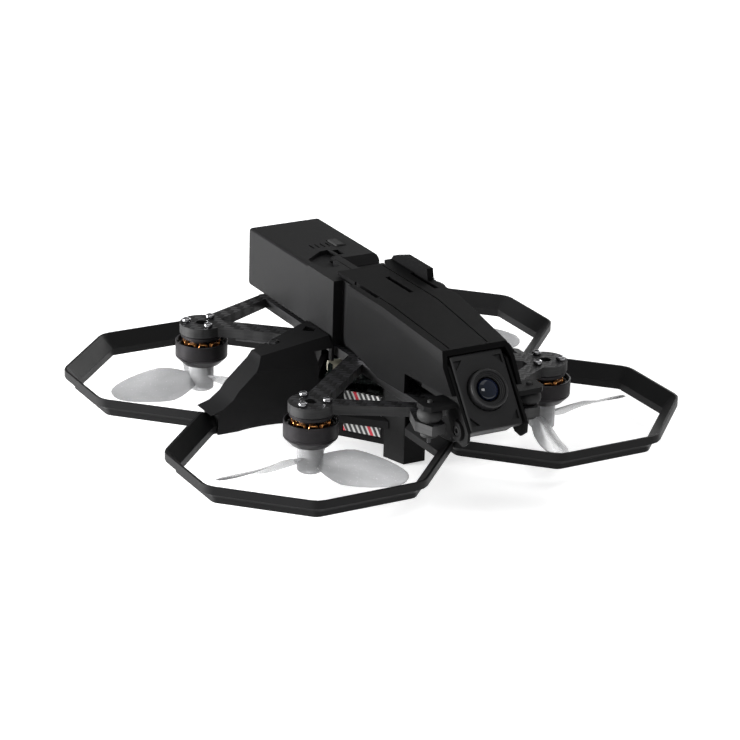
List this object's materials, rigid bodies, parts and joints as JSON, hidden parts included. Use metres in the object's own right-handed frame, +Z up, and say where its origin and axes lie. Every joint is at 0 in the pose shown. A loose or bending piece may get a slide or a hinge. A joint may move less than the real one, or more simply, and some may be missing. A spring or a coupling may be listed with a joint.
{
  "type": "racing drone",
  "caption": "Small ducted racing drone with pusher propellers, V-shaped carbon arms, a slide-in battery and a tilting camera.",
  "frame": {"origin": "middle of the object on the ground under it, level with the underside of the two feet", "axes": "+Z up; the nose and camera point to -Y; +X is the drone's own left side"},
  "size_m": [0.1626, 0.1496, 0.0559],
  "materials": {
    "shell_black": "satin",
    "carbon_weave": "satin",
    "battery_black": "matte",
    "rubber_black": "matte",
    "bell_black": "satin",
    "winding_copper": "satin",
    "alloy_grey": "satin",
    "screw_steel": "satin",
    "magnet_nickel": "polished",
    "smoke_plastic": "gloss",
    "circuit_board": "satin",
    "label_white": "satin",
    "lens_glass": "gloss",
    "lens_black": "satin",
    "wire_black": "satin",
    "contact_gold": "polished"
  },
  "bodies": {
    "airframe": {"guard_front_right": "shell_black", "guard_front_left": "shell_black", "guard_rear_right": "shell_black", "guard_rear_left": "shell_black", "motor_base_front_right": "alloy_grey", "motor_base_front_left": "alloy_grey", "motor_base_rear_right": "alloy_grey", "motor_base_rear_left": "alloy_grey", "stator_winding_front_right": "winding_copper", "stator_winding_front_left": "winding_copper", "stator_winding_rear_right": "winding_copper", "stator_winding_rear_left": "winding_copper", "motor_lead_front_right": "wire_black", "motor_lead_front_left": "wire_black", "motor_lead_rear_right": "wire_black", "motor_lead_rear_left": "wire_black", "belly_tray": "shell_black", "stripe_panel_right": "label_white", "stripe_panel_left": "label_white", "carbon_plate": "carbon_weave", "side_fairing_right": "shell_black", "side_fairing_left": "shell_black", "fairing_screw_right": "screw_steel", "fairing_screw_left": "screw_steel", "nose_block": "shell_black", "battery_sleeve": "shell_black", "canopy": "shell_black", "flight_controller": "circuit_board", "speed_controller": "circuit_board", "video_unit": "alloy_grey", "capacitor": "wire_black", "receiver": "circuit_board", "damper_ball_right": "rubber_black", "damper_ball_left": "rubber_black", "camera_cradle": "shell_black", "power_socket": "contact_gold"},
    "rotor_front_right": {"motor_bell_front_right": "bell_black", "magnet_ring_front_right": "magnet_nickel", "motor_shaft_front_right": "screw_steel", "propeller_front_right": "smoke_plastic"},
    "rotor_front_left": {"motor_bell_front_left": "bell_black", "magnet_ring_front_left": "magnet_nickel", "motor_shaft_front_left": "screw_steel", "propeller_front_left": "smoke_plastic"},
    "rotor_rear_right": {"motor_bell_rear_right": "bell_black", "magnet_ring_rear_right": "magnet_nickel", "motor_shaft_rear_right": "screw_steel", "propeller_rear_right": "smoke_plastic"},
    "rotor_rear_left": {"motor_bell_rear_left": "bell_black", "magnet_ring_rear_left": "magnet_nickel", "motor_shaft_rear_left": "screw_steel", "propeller_rear_left": "smoke_plastic"},
    "camera": {"camera_head": "lens_black", "lens_barrel": "lens_black", "lens_glass": "lens_glass"},
    "battery": {"battery_case": "battery_black", "battery_cells": "alloy_grey", "battery_contacts": "contact_gold"},
    "battery_button": {"power_button": "shell_black"},
    "latch": {"release_latch": "shell_black"}
  },
  "joints": [
    {"name": "rotor_front_right_spin", "type": "hinge", "parent": "airframe", "child": "rotor_front_right", "pos_m": [-0.0402, -0.0359, 0.0164], "axis": [0, 0, 1], "continuous": true},
    {"name": "rotor_front_left_spin", "type": "hinge", "parent": "airframe", "child": "rotor_front_left", "pos_m": [0.0402, -0.0359, 0.0164], "axis": [0, 0, 1], "continuous": true},
    {"name": "rotor_rear_right_spin", "type": "hinge", "parent": "airframe", "child": "rotor_rear_right", "pos_m": [-0.0402, 0.0371, 0.0164], "axis": [0, 0, 1], "continuous": true},
    {"name": "rotor_rear_left_spin", "type": "hinge", "parent": "airframe", "child": "rotor_rear_left", "pos_m": [0.0402, 0.0371, 0.0164], "axis": [0, 0, 1], "continuous": true},
    {"name": "camera_tilt", "type": "hinge", "parent": "airframe", "child": "camera", "pos_m": [0, -0.06958, 0.0279], "axis": [1, 0, 0], "range_deg": [-6, 24]},
    {"name": "battery_slide", "type": "slide", "parent": "airframe", "child": "battery", "axis": [0, 1, 0], "range_m": [0, 0.03]},
    {"name": "power_button_press", "type": "slide", "parent": "battery", "child": "battery_button", "axis": [0, 0, -1], "range_m": [0, 0.0008], "stiffness_N_per_m": 300, "springref_m": -0.0005},
    {"name": "latch_press", "type": "slide", "parent": "airframe", "child": "latch", "axis": [0, 0, -1], "range_m": [0, 0.0008], "stiffness_N_per_m": 400, "springref_m": -0.0005}
  ]
}
